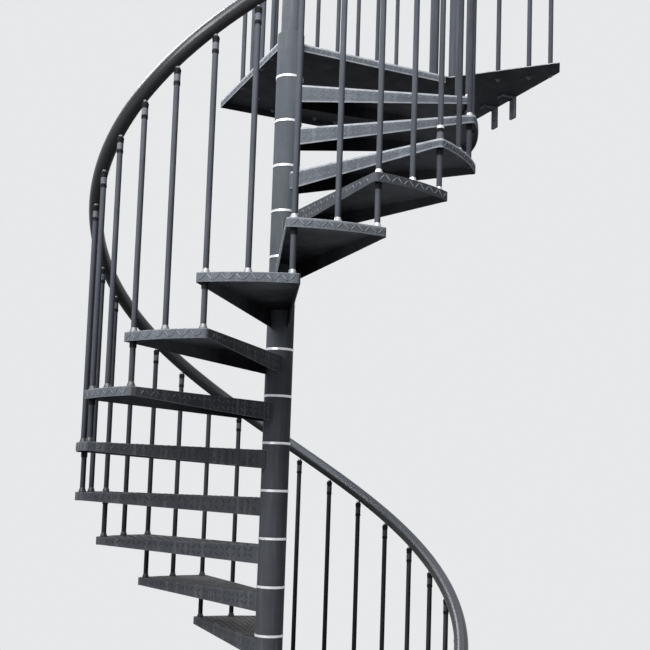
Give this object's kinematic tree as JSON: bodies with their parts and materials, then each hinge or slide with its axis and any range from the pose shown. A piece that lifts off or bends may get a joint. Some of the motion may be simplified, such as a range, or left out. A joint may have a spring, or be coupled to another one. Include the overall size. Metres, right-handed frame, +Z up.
{
  "type": "outdoor spiral staircase with landing",
  "caption": "Outdoor steel spiral staircase on a central pole, with folded wedge treads, tube balusters, a helical handrail and a guarded landing that meets a terrace edge.",
  "frame": {"origin": "centre of the base flange's underside, on the floor", "axes": "+Z up along the pole, +X from the pole along the landing to the terrace edge that it is bolted to"},
  "size_m": [1.992, 1.6139, 4.476],
  "materials": {
    "graphite_paint": "weathered powder coat",
    "handrail_black": "semi-gloss",
    "black_fittings": "matt",
    "zinc_fittings": "bright zinc"
  },
  "bodies": {
    "root": {"balusters_lower": "graphite_paint", "balusters_middle": "graphite_paint", "balusters_upper": "graphite_paint", "base_flange": "graphite_paint", "bottom_newel": "graphite_paint", "centre_pole": "graphite_paint", "handrail_caps": "black_fittings", "handrail_lower": "handrail_black", "handrail_middle": "handrail_black", "handrail_upper": "handrail_black", "landing_balusters": "graphite_paint", "landing_corner_post": "graphite_paint", "landing_feet": "zinc_fittings", "landing_plate": "graphite_paint", "landing_rail": "handrail_black", "landing_rail_adapters": "black_fittings", "landing_wall_post": "graphite_paint", "pole_cap": "black_fittings", "side_rail": "handrail_black", "spacer_rings": "zinc_fittings", "stair_feet": "zinc_fittings", "stair_rail_adapters": "black_fittings", "tie_collars": "black_fittings", "tie_feet": "zinc_fittings", "tie_spacers": "graphite_paint", "tread_01": "graphite_paint", "tread_02": "graphite_paint", "tread_03": "graphite_paint", "tread_04": "graphite_paint", "tread_05": "graphite_paint", "tread_06": "graphite_paint", "tread_07": "graphite_paint", "tread_08": "graphite_paint", "tread_09": "graphite_paint", "tread_10": "graphite_paint", "tread_11": "graphite_paint", "tread_12": "graphite_paint", "tread_13": "graphite_paint", "tread_14": "graphite_paint", "tread_15": "graphite_paint", "tread_16": "graphite_paint", "tread_17": "graphite_paint", "wall_brackets": "graphite_paint"}
  },
  "joints": []
}
